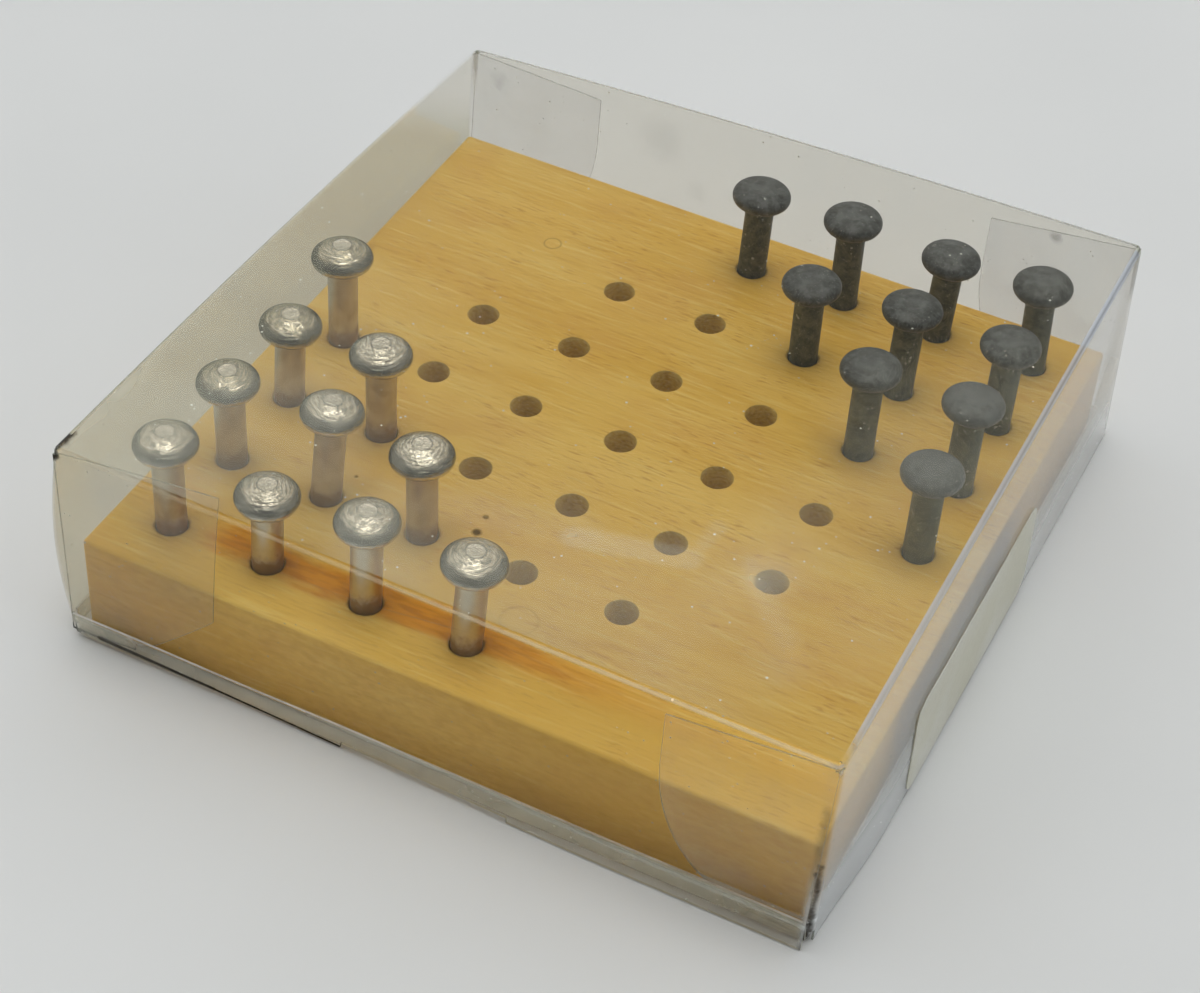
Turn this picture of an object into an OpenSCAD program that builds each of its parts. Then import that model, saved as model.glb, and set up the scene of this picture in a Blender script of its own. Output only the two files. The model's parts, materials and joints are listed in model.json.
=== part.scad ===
// Pocket halma board: a wooden block with 37 blind peg holes, ten bright and ten black
// rivet-shaped pegs, and the folded clear-film box that it is kept in, a shallow tray and
// a deep lid. Millimetres, +Z up. The origin is the middle of the tray's underside.
// X runs along the rows of holes, and the front of the box faces -Y. The holes were drilled
// by hand, so those under the pegs differ a little in depth and lean.

/* [Board] */
// Distance from the outer holes' centres to the edge of the square wooden block
board_margin = 8; // [5:0.5:18]
// Thickness of the wooden block
board_thick = 15; // [12:0.5:20]
// Width of the eased edges all round the block
edge_ease = 0.4; // [0.2:0.1:1.5]

/* [Peg holes] */
// Distance between neighbouring hole centres
hole_pitch = 14; // [11:0.5:15]
// Clearance between a peg's shank and the wall of its hole, on each side
peg_clearance = 0.15; // [0.05:0.05:0.5]
// Depth of the straight part of a peg hole that is drilled as deep as most
hole_depth = 8.2; // [7:0.1:9.5]
// Angle of the cone that the drill leaves at the bottom
drill_point = 118; // [90:1:140]

/* [Pegs] */
// Diameter of every peg's shank
shank_d = 4; // [3:0.1:5]
// Chamfer round the lower end of a shank
shank_chamfer = 0.35; // [0.1:0.05:0.8]
// Shank length of a bright peg, from its end to the underside of its head
bright_shank_len = 20; // [15:0.5:26]
// Head diameter of a bright peg
bright_head_d = 8.2; // [7:0.1:9.5]
// Rise of a bright head's curved crown above its widest line, before the flat cuts it
bright_crown = 2.25; // [1.8:0.05:3.2]
// Depth of a bright head's underside below its widest line
bright_under = 1.5; // [1.2:0.05:2]
// Radius of a bright head's rounded rim
bright_rim_r = 1.1; // [0.5:0.05:1.15]
// Diameter of the flat that forming leaves on a bright crown
bright_flat_d = 2.2; // [1:0.1:3]
// Shank length of a black peg, from its end to the underside of its head
black_shank_len = 20.5; // [16:0.5:27]
// Head diameter of a black peg
black_head_d = 8.1; // [7:0.1:9.5]
// Rise of a black head's curved crown above its widest line, before the dimple cuts it
black_crown = 1.55; // [1.1:0.05:2]
// Depth of a black head's underside below its widest line
black_under = 1.7; // [1.1:0.05:2]
// Radius of a black head's rounded rim
black_rim_r = 1; // [0.3:0.05:1.05]
// Diameter of the shallow dimple in a black crown
black_dimple_d = 3; // [1:0.1:4]
// Depth of that dimple
black_dimple_depth = 0.12; // [0.05:0.01:0.3]

/* [Film box] */
// Thickness of the clear film
film = 0.3; // [0.2:0.05:0.5]
// Outer radius of a folded edge
bend_r = 0.8; // [0.6:0.1:1.5]
// How far a front or back wall stops short of the corner of the box
wall_inset = 1; // [0.8:0.1:2]
// Free room between the block and the tray's left and right lips
side_room = 0.5; // [0.2:0.1:2]
// Free room between the block and the tray's front and back lips
end_room = 1.2; // [0.7:0.1:3]
// Running clearance between the tray and the lid, on each side
lid_clearance = 0.2; // [0.1:0.05:0.6]
// Free room between the tallest crown and the lid
head_room = 0.2; // [0.2:0.1:3]
// Height of the lid's lower edge above the table
lid_lift_off = 0.2; // [0.1:0.1:1]

/* [Lid] */
// Length of the glue flaps in the lid's corners
lid_flap_len = 21; // [15:1:35]
// How far the upper edge of such a flap slopes down to its free end
lid_flap_slope = 3; // [1:0.5:6]
// Radius of the flap's lower free corner
lid_flap_round = 12; // [3:1:14]
// Distance of the flap's lower edge from the lid's rim
lid_flap_back = 2; // [0.5:0.5:6]
// Width of the finger notch in the middle of the front and back rim
notch_w = 23.4; // [12:0.2:40]
// Height of the finger notch
notch_h = 0.8; // [0.4:0.1:4]

/* [Tray] */
// Height of the tray's lips
lip_h = 4.5; // [3:0.5:9]
// Length of the small glue flaps in the tray's corners
tray_flap_len = 9; // [5:1:25]
// Slope of such a flap's edge next to the floor
tray_flap_slope = 1.6; // [1.4:0.1:2]
// Radius of that flap's free corner
tray_flap_round = 1.5; // [0.5:0.1:1.5]
// Distance of that flap's upper edge from the lip's rim
tray_flap_back = 0.4; // [0.2:0.1:0.6]

/* [Label] */
// Length of the paper label
label_w = 42; // [20:1:80]
// Height of the paper label
label_h = 15; // [10:1:22]
// Radius of the label's corners
label_r = 2.5; // [1:0.5:4]
// Thickness of the label
label_t = 0.12; // [0.08:0.01:0.3]
// Distance of the label's middle behind the middle of the wall
label_shift = -5; // [-8:1:8]
// Height of the label's lower edge above the lid's rim
label_up = 0.4; // [0.2:0.1:6]

/* [Hidden] */
$fn = 64;
// The holes form a lattice of 7 by 7 without two opposite corners.
lattice_n = 7;
lattice_mid = (lattice_n + 1) / 2;
max_offset = 3;
// Step in which the drilled depths below are counted.
depth_step = 0.1;
// Each peg's seat: the hole's row and column, how many depth steps deeper than hole_depth it
// is drilled, and how many degrees it leans towards +X and towards +Y.
bright_seats = [
    [1, 1, -4, 0, 0], [1, 2, 18, 1.5, 0.5], [1, 3, -4, 1, 0.5], [1, 4, -4, 2.5, 1.5],
    [2, 1, 2, 0, 0], [2, 2, -5, 2.5, 4], [2, 3, 0, -0.5, 0],
    [3, 1, 10, 2, 1], [3, 2, 1, 0, 0],
    [4, 1, -5, -0.5, 1]];
black_seats = [
    [4, 7, 2, 0, 0],
    [5, 6, -2, 0, 0], [5, 7, -4, 0, 0],
    [6, 5, 14, -0.5, 0], [6, 6, -1, 0.5, 0.5], [6, 7, 2, 0, 0],
    [7, 4, 9, 1, 0.5], [7, 5, 0, -0.5, 0], [7, 6, 10, 1.5, 1], [7, 7, 0, -2, -1]];
// Gap between a peg's end and the cone at the bottom of its hole.
seat_gap = 0.05;
// How far a cut runs past the face that it opens.
cut_past = 1;
// Straight steps in each arc of a peg's turned profile.
belly_steps = 3;
rim_steps = 8;
dome_steps = 8;

board_side = (lattice_n - 1) * hole_pitch + 2 * board_margin;
tray_x = board_side + 2 * side_room + 2 * film;
tray_y = board_side + 2 * end_room + 2 * film;
lid_x = tray_x + 2 * lid_clearance + 2 * film;
lid_y = tray_y + 2 * lid_clearance + 4 * film;
board_top = film + board_thick;
hole_r = shank_d / 2 + peg_clearance;
shank_end_r = shank_d / 2 - shank_chamfer;
// A peg's end comes to rest where its edge meets the drill's cone.
cone_slope = tan(drill_point / 2);
seat_depth = hole_depth + (hole_r - shank_end_r) / cone_slope - seat_gap;
bright_len = bright_shank_len + bright_under + bright_crown;
black_len = black_shank_len + black_under + black_crown;
// Height of each crown above the board's holes, as if its peg stood upright.
stand_heights = concat([for (s = bright_seats) bright_len - seat_depth - extra_depth(s)],
                       [for (s = black_seats) black_len - seat_depth - extra_depth(s)]);
lid_top = board_top + max(stand_heights) + head_room + film;
lid_h = lid_top - lid_lift_off;

lattice = [for (r = [1:lattice_n], c = [1:lattice_n]) if (abs(r - c) <= max_offset) [r, c]];
seats = concat(bright_seats, black_seats);
// The holes without a peg are drilled square and equally deep.
free_seats = [for (cell = lattice)
    if (len([for (s = seats) if (s[0] == cell[0] && s[1] == cell[1]) s]) == 0)
        [cell[0], cell[1], 0, 0, 0]];

bright_names = [for (i = [1:len(bright_seats)]) str("bright_peg_", i)];
black_names = [for (i = [1:len(black_seats)]) str("black_peg_", i)];

// How much deeper than hole_depth a seat's hole is drilled.
function extra_depth(seat) = seat[2] * depth_step;

// Points of an arc, from one angle to another, without its first point.
function arc(centre, r, from, to, count) =
    [for (i = [1:count]) let (a = from + (to - from) * i / count)
        [centre[0] + r * cos(a), centre[1] + r * sin(a)]];

// Radius of the arc that runs from the axis, rise above the rim's middle, into the rim.
function blend_r(rim_x, rise, rim_r) =
    (rim_x * rim_x + rise * rise - rim_r * rim_r) / (2 * (rise - rim_r));

// A plate with all its edges eased, standing on z = 0.
module eased_block(side, height, ease) {
    intersection() {
        linear_extrude(height) eased_rectangle(side, side, ease);
        translate([0, side / 2, height / 2]) rotate([90, 0, 0])
            linear_extrude(side) eased_rectangle(side, height, ease);
        translate([-side / 2, 0, height / 2]) rotate([90, 0, 90])
            linear_extrude(side) eased_rectangle(side, height, ease);
    }
}

module eased_rectangle(w, h, ease) {
    x = w / 2;
    y = h / 2;
    polygon([[x - ease, -y], [x, ease - y], [x, y - ease], [x - ease, y],
             [ease - x, y], [-x, y - ease], [-x, ease - y], [ease - x, -y]]);
}

// Puts its child in a seat: z = 0 is the hole's mouth, and +Z leans as the hole does.
module at_seat(seat) {
    translate([(seat[1] - lattice_mid) * hole_pitch, (seat[0] - lattice_mid) * hole_pitch, board_top])
        rotate([-seat[4], seat[3], 0])
            children();
}

// A blind hole with the drill's cone below it. Its mouth is at z = 0.
module peg_hole(depth) {
    cone_h = hole_r / cone_slope;
    translate([0, 0, -depth]) {
        cylinder(r = hole_r, h = depth + cut_past);
        translate([0, 0, -cone_h]) cylinder(r1 = 0, r2 = hole_r, h = cone_h);
    }
}

module board() {
    color("burlywood")
    difference() {
        translate([0, 0, film]) eased_block(board_side, board_thick, edge_ease);
        for (s = concat(seats, free_seats)) at_seat(s) peg_hole(hole_depth + extra_depth(s));
    }
}

// A turned peg on z = 0: a chamfered shank and a lens-shaped head with a round rim.
// flat_d is the width of the crown's flat, and dip is how far that flat is sunk.
module peg(shank_len, head_d, crown, under, rim_r, flat_d, dip) {
    r = shank_d / 2;
    rim_x = head_d / 2 - rim_r;
    rim_z = shank_len + under;
    dome_r = blend_r(rim_x, crown, rim_r);
    dome_z = rim_z + crown - dome_r;
    dome_a = atan2(rim_z - dome_z, rim_x);
    flat_a = acos(flat_d / 2 / dome_r);
    belly_r = blend_r(rim_x, under, rim_r);
    belly_z = rim_z - under + belly_r;
    belly_a = atan2(rim_z - belly_z, rim_x);
    neck_a = -acos(r / belly_r);
    flat_z = dome_z + dome_r * sin(flat_a);
    rotate_extrude()
        polygon(concat(
            [[0, 0], [shank_end_r, 0], [r, shank_chamfer]],
            [[r, belly_z + belly_r * sin(neck_a)]],
            arc([0, belly_z], belly_r, neck_a, belly_a, belly_steps),
            arc([rim_x, rim_z], rim_r, belly_a, dome_a, rim_steps),
            arc([0, dome_z], dome_r, dome_a, flat_a, dome_steps),
            dip > 0 ? [[flat_d / 2 - dip, flat_z - dip]] : [],
            [[0, flat_z - dip]]));
}

module bright_peg(seat) {
    color("silver") at_seat(seat) translate([0, 0, -seat_depth - extra_depth(seat)])
        peg(bright_shank_len, bright_head_d, bright_crown, bright_under, bright_rim_r,
            bright_flat_d, 0);
}

module black_peg(seat) {
    color("dimgray") at_seat(seat) translate([0, 0, -seat_depth - extra_depth(seat)])
        peg(black_shank_len, black_head_d, black_crown, black_under, black_rim_r,
            black_dimple_d, black_dimple_depth);
}

// A quarter of a bent edge: it turns from the floor up into a wall at +X.
module quarter_bend() {
    intersection() {
        difference() {
            circle(bend_r);
            circle(bend_r - film);
        }
        translate([0, -bend_r]) square(bend_r);
    }
}

// The outline of a glue flap. X runs from the corner of the box to the free end, and Y
// up from the floor of the box. The edge next to the floor slopes away from it.
module flap_outline(length, height, slope, back, round_r) {
    top = height - back;
    difference() {
        polygon([[bend_r, bend_r], [length, slope], [length, top], [bend_r, top]]);
        translate([length - round_r, top - round_r]) difference() {
            square(2 * round_r);
            circle(round_r);
        }
    }
}

// A box folded from one sheet of film, open at the top, with its floor on z = 0. The left
// and right walls end in flaps that turn the corner and lie inside the other two walls.
module folded_box(w, d, h, flap_len, flap_slope, flap_back, flap_round, notch) {
    inner_d = d - 2 * film;
    translate([-w / 2 + bend_r, -d / 2 + bend_r, 0])
        cube([w - 2 * bend_r, d - 2 * bend_r, film]);
    for (side = [0, 1]) mirror([side, 0, 0]) {
        wall_y = inner_d - 2 * bend_r;
        translate([w / 2 - bend_r, wall_y / 2, bend_r]) rotate([90, 0, 0])
            linear_extrude(wall_y) quarter_bend();
        translate([w / 2 - film, -wall_y / 2, bend_r]) cube([film, wall_y, h - bend_r]);
        for (end = [0, 1]) mirror([0, end, 0]) {
            translate([w / 2 - bend_r, -inner_d / 2 + bend_r, bend_r])
                linear_extrude(h - flap_back - bend_r) quarter_bend();
            translate([w / 2, -inner_d / 2, 0]) rotate([90, 0, 180])
                linear_extrude(film)
                    flap_outline(flap_len, h, flap_slope, flap_back, flap_round);
        }
    }
    for (end = [0, 1]) mirror([0, end, 0]) {
        wall_x = w - 2 * wall_inset;
        translate([-wall_x / 2, -d / 2 + bend_r, bend_r]) rotate([90, 0, 90])
            linear_extrude(wall_x) mirror([1, 0]) quarter_bend();
        difference() {
            translate([-wall_x / 2, -d / 2, bend_r]) cube([wall_x, film, h - bend_r]);
            if (notch > 0)
                translate([-notch / 2, -d / 2 - cut_past, h - notch_h])
                    cube([notch, film + 2 * cut_past, notch_h + cut_past]);
        }
    }
}

module base_tray() {
    color("gainsboro", 0.4)
        folded_box(tray_x, tray_y, lip_h, tray_flap_len, tray_flap_slope,
            tray_flap_back, tray_flap_round, 0);
}

module lid() {
    color("gainsboro", 0.4) translate([0, 0, lid_top]) rotate([180, 0, 0])
        folded_box(lid_x, lid_y, lid_h, lid_flap_len, lid_flap_slope,
            lid_flap_back, lid_flap_round, notch_w);
}

// A plain paper label with round corners, stuck on the lid's right wall.
module label() {
    color("ivory")
    translate([lid_x / 2, label_shift, lid_lift_off + label_up + label_h / 2])
        rotate([90, 0, 90]) linear_extrude(label_t) {
            square([label_w - 2 * label_r, label_h], center = true);
            square([label_w, label_h - 2 * label_r], center = true);
            for (x = [-1, 1], y = [-1, 1])
                translate([x * (label_w / 2 - label_r), y * (label_h / 2 - label_r)])
                    circle(label_r);
        }
}

base_tray();
board();
lid();
label();
for (i = [0:len(bright_seats) - 1])
    bright_peg(bright_seats[i]);
for (i = [0:len(black_seats) - 1])
    black_peg(black_seats[i]);
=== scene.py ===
import json
from math import acos, atan2, cos, dist, hypot, pi, radians, sin, sqrt, tan

import bmesh
import bpy
from mathutils import Euler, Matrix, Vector, noise


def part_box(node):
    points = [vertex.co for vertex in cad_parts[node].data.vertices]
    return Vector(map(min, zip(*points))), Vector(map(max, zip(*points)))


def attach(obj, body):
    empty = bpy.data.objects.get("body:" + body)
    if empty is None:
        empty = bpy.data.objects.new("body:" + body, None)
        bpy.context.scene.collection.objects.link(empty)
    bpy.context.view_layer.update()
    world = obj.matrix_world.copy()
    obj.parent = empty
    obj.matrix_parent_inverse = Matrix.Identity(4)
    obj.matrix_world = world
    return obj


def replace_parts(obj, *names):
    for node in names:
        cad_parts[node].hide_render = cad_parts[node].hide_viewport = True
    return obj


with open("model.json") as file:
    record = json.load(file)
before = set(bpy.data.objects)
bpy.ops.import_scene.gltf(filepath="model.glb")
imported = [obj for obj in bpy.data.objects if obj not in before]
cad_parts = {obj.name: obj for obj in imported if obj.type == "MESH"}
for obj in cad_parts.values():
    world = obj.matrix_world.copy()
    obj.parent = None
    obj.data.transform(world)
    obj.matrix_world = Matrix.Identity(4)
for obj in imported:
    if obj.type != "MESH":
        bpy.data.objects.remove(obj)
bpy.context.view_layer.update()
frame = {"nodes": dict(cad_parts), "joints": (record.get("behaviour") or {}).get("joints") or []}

# A pocket halma board in its clear film box: a varnished block with peg holes, ten bright and
# ten black rivet-shaped pegs, a shallow tray and a deep lid of folded film, and a paper label.
# Lengths are in millimetres until a mesh is made, which turns them into metres.

MM = 0.001


def corners(node):
    """Lowest and highest corner of a CAD node, in millimetres."""
    low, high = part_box(node)
    return low / MM, high / MM


BOARD_LOW, BOARD_HIGH = corners("board")
LID_LOW, LID_HIGH = corners("lid")
TRAY_HIGH = corners("base_tray")[1]
LABEL_LOW, LABEL_HIGH = corners("label")

# The lattice of holes, as drilled
PITCH = 14.0
HOLE_R = 2.15
HOLE_DEPTH = 8.2
LATTICE = 7
MAX_OFFSET = 3

# The folded film, which is shown a little thinner than it is
FILM = 0.3
FILM_SHOWN = 0.26
BEND = 0.8
WALL_INSET = 0.25
LID_FLAP = {"length": 21.2, "slope": 3.0, "back": 2.0, "round_from": 9.0, "round_back": 18.0}
TRAY_FLAP = {"length": 9.0, "slope": 1.6, "back": 0.4, "round_from": 7.5, "round_back": 1.5}
NOTCH_W = 23.4
NOTCH_H = 0.8

# How far a flap's free outline stands back from its straight edge, at a distance from its fold
LOOSE_OUTLINE = ((0.0, 0.0), (10.6, 0.0), (12.9, 1.6), (21.2, 9.0))


# Small helpers for meshes. Edges that bend more than this many degrees stay sharp

SHARP = 40.0


def steps(low, high, size):
    """Equally spaced values from low to high, about size apart."""
    count = max(1, round((high - low) / size))
    return [low + (high - low) * i / count for i in range(count + 1)]


def smooth(low, high, value):
    """0 below low, 1 above high, and a soft step between."""
    t = min(1.0, max(0.0, (value - low) / (high - low)))
    return t * t * (3 - 2 * t)


def add_grid(bm, rows, place=Vector):
    """Adds faces between rows of points. All rows have equally many points."""
    made = [[bm.verts.new(place(p)) for p in row] for row in rows]
    for a, b in zip(made, made[1:]):
        for i in range(len(a) - 1):
            bm.faces.new((a[i], a[i + 1], b[i + 1], b[i]))
    return made


def finish_mesh(bm, name, materials, sharp=SHARP):
    """Turns a bmesh in millimetres into an object in metres with smooth shading."""
    bmesh.ops.scale(bm, vec=(MM, MM, MM), verts=bm.verts)
    mesh = bpy.data.meshes.new(name)
    bm.to_mesh(mesh)
    bm.free()
    for material in materials:
        mesh.materials.append(material)
    mesh.shade_smooth()
    mesh.set_sharp_from_angle(angle=radians(sharp))
    obj = bpy.data.objects.new(name, mesh)
    bpy.context.scene.collection.objects.link(obj)
    return obj


def apply_modifiers(obj):
    """Makes what the object's modifiers show its own mesh."""
    bpy.context.view_layer.update()
    shown = obj.evaluated_get(bpy.context.evaluated_depsgraph_get())
    mesh = bpy.data.meshes.new_from_object(shown)
    obj.modifiers.clear()
    old, obj.data = obj.data, mesh
    bpy.data.meshes.remove(old)
    mesh.name = obj.name
    mesh.shade_smooth()
    mesh.set_sharp_from_angle(angle=radians(SHARP))
    return obj


# Small helpers for materials

class Nodes:
    """The nodes of a material or a world. A material's coordinates are in millimetres."""

    def __init__(self, name="", world=None):
        self.owner = world or bpy.data.materials.new(name)
        self.owner.use_nodes = True
        self.tree = self.owner.node_tree
        self.tree.nodes.clear()
        if world is None:
            place = self.add("TexCoord").outputs["Object"]
            self.place = self.vector("MULTIPLY", place, (1 / MM, 1 / MM, 1 / MM))

    def put(self, socket, value):
        """Joins a socket to another, or sets it to a value."""
        if isinstance(value, bpy.types.NodeSocket):
            self.tree.links.new(value, socket)
        elif isinstance(value, (tuple, list)) and socket.type == "RGBA" and len(value) == 3:
            socket.default_value = (*value, 1.0)
        else:
            socket.default_value = value

    def add(self, kind, inputs=None, **settings):
        node = self.tree.nodes.new("ShaderNode" + kind)
        for key, value in settings.items():
            setattr(node, key, value)
        for key, value in (inputs or {}).items():
            self.put(node.inputs[key], value)
        return node

    def maths(self, operation, *values):
        return self.add("Math", dict(enumerate(values)), operation=operation).outputs[0]

    def vector(self, operation, *values):
        node = self.add("VectorMath", dict(enumerate(values)), operation=operation)
        return node.outputs["Value" if operation in ("LENGTH", "DOT_PRODUCT", "DISTANCE") else 0]

    def total(self, *values):
        value = values[0]
        for other in values[1:]:
            value = self.maths("ADD", value, other)
        return value

    def times(self, *values):
        value = values[0]
        for other in values[1:]:
            value = self.maths("MULTIPLY", value, other)
        return value

    def rest(self, value):
        """What a share leaves of 1."""
        return self.maths("SUBTRACT", 1.0, value)

    def swing(self, value, size):
        """Turns noise between 0 and 1 into an unevenness round 0, of a size in all."""
        return self.times(self.maths("SUBTRACT", value, 0.5), size)

    def between(self, value, low, high, to_low=0.0, to_high=1.0):
        """A soft step of a value from low to high. It falls where low is the larger one."""
        ends = {"From Min": low, "From Max": high, "To Min": to_low, "To Max": to_high}
        node = self.add("MapRange", {"Value": value, **ends}, interpolation_type="SMOOTHSTEP")
        return node.outputs["Result"]

    def axes(self):
        """The place's X, Y and Z."""
        return list(self.add("SeparateXYZ", {"Vector": self.place}).outputs)

    def stretched(self, scale, shift=0, turn=0.0):
        """The place, turned about Z, moved and scaled for a texture.

        A scale or a shift that is one number holds in all three directions."""
        scale, shift = ((v, v, v) if isinstance(v, (int, float)) else v for v in (scale, shift))
        node = self.add("Mapping", {"Vector": self.place, "Location": shift,
                                    "Rotation": (0, 0, radians(turn)), "Scale": scale})
        return node.outputs[0]

    def noise_on(self, vector, detail=3.0, rough=0.6, bend=0.0):
        """Noise between 0 and 1 on given coordinates."""
        node = self.add("TexNoise", {"Vector": vector, "Scale": 1.0, "Detail": detail,
                                     "Roughness": rough, "Distortion": bend})
        return node.outputs["Fac"]

    def noise(self, scale, shift=0, detail=3.0, rough=0.6, bend=0.0):
        """Noise between 0 and 1, with about scale waves in a millimetre."""
        return self.noise_on(self.stretched(scale, shift), detail, rough, bend)

    def cells(self, scale, shift=0, turn=0.0):
        """Distance to the nearest of many scattered points, about scale in a millimetre."""
        place = self.stretched(scale, shift, turn)
        return self.add("TexVoronoi", {"Vector": place, "Scale": 1.0}).outputs["Distance"]

    def near(self, distance, reach, soft, wobble):
        """1 where a distance is less than a reach, 0 beyond it, with a soft step between."""
        if wobble is not None:
            distance = self.maths("ADD", distance, wobble)
        return self.between(distance, reach * (1 + soft), reach * (1 - soft))

    def spot(self, centre, radius, soft=0.5, wobble=None):
        """1 inside a round spot of the object's surface and 0 outside it."""
        return self.near(self.vector("DISTANCE", self.place, centre), radius, soft, wobble)

    def streak(self, start, end, width, soft=0.5, wobble=None):
        """1 along a straight line between two points and 0 away from it."""
        along = Vector(end) - Vector(start)
        way = self.vector("SUBTRACT", self.place, start)
        share = self.maths("DIVIDE", self.vector("DOT_PRODUCT", way, along), along.length_squared)
        share = self.add("Clamp", {"Value": share}).outputs[0]
        foot = self.add("VectorMath", {0: along, "Scale": share}, operation="SCALE")
        return self.near(self.vector("DISTANCE", way, foot.outputs[0]), width, soft, wobble)

    def ring(self, centre, radius, width):
        distance = self.vector("DISTANCE", self.place, centre)
        off = self.maths("ABSOLUTE", self.maths("SUBTRACT", distance, radius))
        return self.between(off, width, 0.0)

    def marks(self, kind, rows, wobble=None):
        """A sum of spots or streaks. Each row is a mark's measures and then its strength."""
        return self.total(*(self.times(kind(*row[:-1], wobble), row[-1]) for row in rows))

    def mix(self, share, a, b):
        return self.add("Mix", {"Factor": share, 6: a, 7: b}, data_type="RGBA").outputs[2]

    def laid(self, colour, *layers):
        """A colour with others laid over it in turn, each given as its share and its colour."""
        for share, over in layers:
            colour = self.mix(share, colour, over)
        return colour

    def bump(self, height, strength, distance):
        inputs = {"Height": height, "Strength": strength, "Distance": distance * MM}
        return self.add("Bump", inputs).outputs[0]

    def principled(self, **inputs):
        """A Principled shader. Underscores in the names stand for spaces."""
        inputs = {key.replace("_", " "): value for key, value in inputs.items()}
        return self.add("BsdfPrincipled", inputs).outputs[0]

    def plain(self, kind, colour, **inputs):
        """A shader of one kind with a colour."""
        return self.add("Bsdf" + kind, {"Color": colour, **inputs}).outputs[0]

    def blend(self, share, a, b):
        """Two shaders mixed."""
        return self.add("MixShader", {0: share, 1: a, 2: b}).outputs[0]

    def output(self, shader):
        self.add("OutputMaterial", {"Surface": shader})
        return self.owner


# Wood

def wood_material():
    """Varnished wood with its grain along X, darker round the holes of the pegs' camps, and with a
    painted reflection along the front row of pegs.
    """
    n = Nodes("varnished_wood")
    x, y, z = n.axes()
    top = BOARD_HIGH.z
    broad = n.noise((0.012, 0.085, 0.085), rough=0.55, bend=0.5)
    cloud = n.noise((0.05, 0.07, 0.07), (7, 3, 1))
    grain = n.noise((0.16, 2.6, 2.6), 0, 4.0, 0.65, 0.2)
    pale = n.noise((0.10, 1.3, 1.3), (8, 8, 2))
    fleck = n.noise((0.42, 3.6, 3.6), (3, 9, 5), 2.0, 0.5, 0.4)
    patch = n.noise((0.07, 0.12, 0.12), (1, 4, 8), 2.0, 0.5)
    smooth_end = n.times(n.between(y, -38.0, -44.0), n.between(x, 20.0, -15.0))
    fleck = n.times(n.between(fleck, 0.57, 0.68), n.between(patch, 0.40, 0.60, 0.25, 1.0),
                    n.rest(n.times(smooth_end, 0.7)))
    # Painted reflection: the wood is a deeper orange along the front row of pegs, where the bent
    # front of the film above it reflects and refracts the wood
    reflection_y = n.total(y, n.swing(n.noise((0.10, 0.35, 0.35), 4, rough=0.5), 5.0))
    front_row_reflection = n.times(n.between(reflection_y, -44.0, -42.0), n.between(reflection_y, -37.6, -39.8),
                  n.between(x, -40.0, -33.0), n.between(x, -2.0, 30.0, 1.0, 0.10),
                  n.between(z, top - 0.7, top - 0.1))
    reflection_patches = n.between(n.noise((0.22, 1.1, 1.1), (7, 1, 1)), 0.40, 0.66)
    # The front strip is browner towards its right end
    strip = n.times(n.between(y, -40.0, -44.0), n.between(x, -5.0, 25.0))
    # The wood is darker round the holes of the two camps
    cell_x, cell_y = (n.maths("PINGPONG", v, PITCH / 2) for v in (x, y))
    cell = n.add("CombineXYZ", {"X": cell_x, "Y": cell_y}).outputs[0]
    ringed = n.total(n.vector("LENGTH", cell), n.swing(n.noise(1.3, (6, 1, 6)), 0.5))
    inside = n.between(n.maths("ABSOLUTE", n.maths("SUBTRACT", x, y)), 48.0, 46.0)
    camp = n.between(n.maths("ABSOLUTE", n.maths("ADD", x, y)), 30.0, 34.0)
    darker_round_holes = n.times(n.between(ringed, HOLE_R + 0.40, HOLE_R - 0.1), inside, camp)
    # Sawn sides are duller and browner than the top
    saw = n.noise((0.5, 0.5, 0.9), 2, 4.0, 0.65)
    side = n.times(n.between(z, top - 0.15, top - 0.6), n.between(saw, 0.35, 0.7, 0.25, 0.6))
    tone = n.laid(
        (0.935, 0.634, 0.152),
        (n.between(broad, 0.34, 0.68), (0.850, 0.525, 0.086)),
        (n.between(cloud, 0.48, 0.70, 0.0, 0.65), (0.820, 0.490, 0.105)),
        (n.between(grain, 0.50, 0.80, 0.0, 0.50), (0.560, 0.280, 0.035)),
        (n.between(pale, 0.50, 0.74, 0.0, 0.60), (0.960, 0.740, 0.240)),
        (n.times(fleck, 0.52), (0.500, 0.220, 0.026)),
        (n.times(front_row_reflection, 0.90), (0.780, 0.310, 0.010)),
        (n.times(front_row_reflection, reflection_patches, 0.50), (0.460, 0.150, 0.006)),
        (n.times(strip, 0.45), (0.690, 0.430, 0.080)),
        (n.times(darker_round_holes, 0.70), (0.260, 0.130, 0.030)),
        (side, (0.640, 0.335, 0.045)))
    relief = n.total(n.times(grain, 0.5), n.times(fleck, -0.6))
    return n.output(n.principled(
        Base_Color=tone, Roughness=n.between(grain, 0.3, 0.8, 0.36, 0.50),
        Coat_Weight=0.04, Specular_IOR_Level=0.16, Coat_Roughness=0.25,
        Normal=n.bump(relief, 0.25, 0.05)))


def hole_material():
    """Raw wood inside the holes, with drilled fibres and dust."""
    n = Nodes("drilled_wood")
    dust = n.noise(2.0, (2, 5, 8), 4.0, 0.7)
    fibre = n.noise((1.1, 2.6, 2.6), (5, 5, 1), 4.0, 0.75)
    tone = n.laid(
        (0.860, 0.620, 0.160),
        (n.between(n.noise((0.8, 3.4, 3.4)), 0.35, 0.7), (0.950, 0.790, 0.310)),
        (n.between(dust, 0.50, 0.72, 0.0, 0.50), (0.960, 0.800, 0.520)),
        (n.between(fibre, 0.50, 0.62, 0.0, 0.42), (0.520, 0.285, 0.080)))
    return n.output(n.principled(Base_Color=tone, Roughness=0.85, Normal=n.bump(dust, 0.6, 0.15)))


# Film

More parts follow.
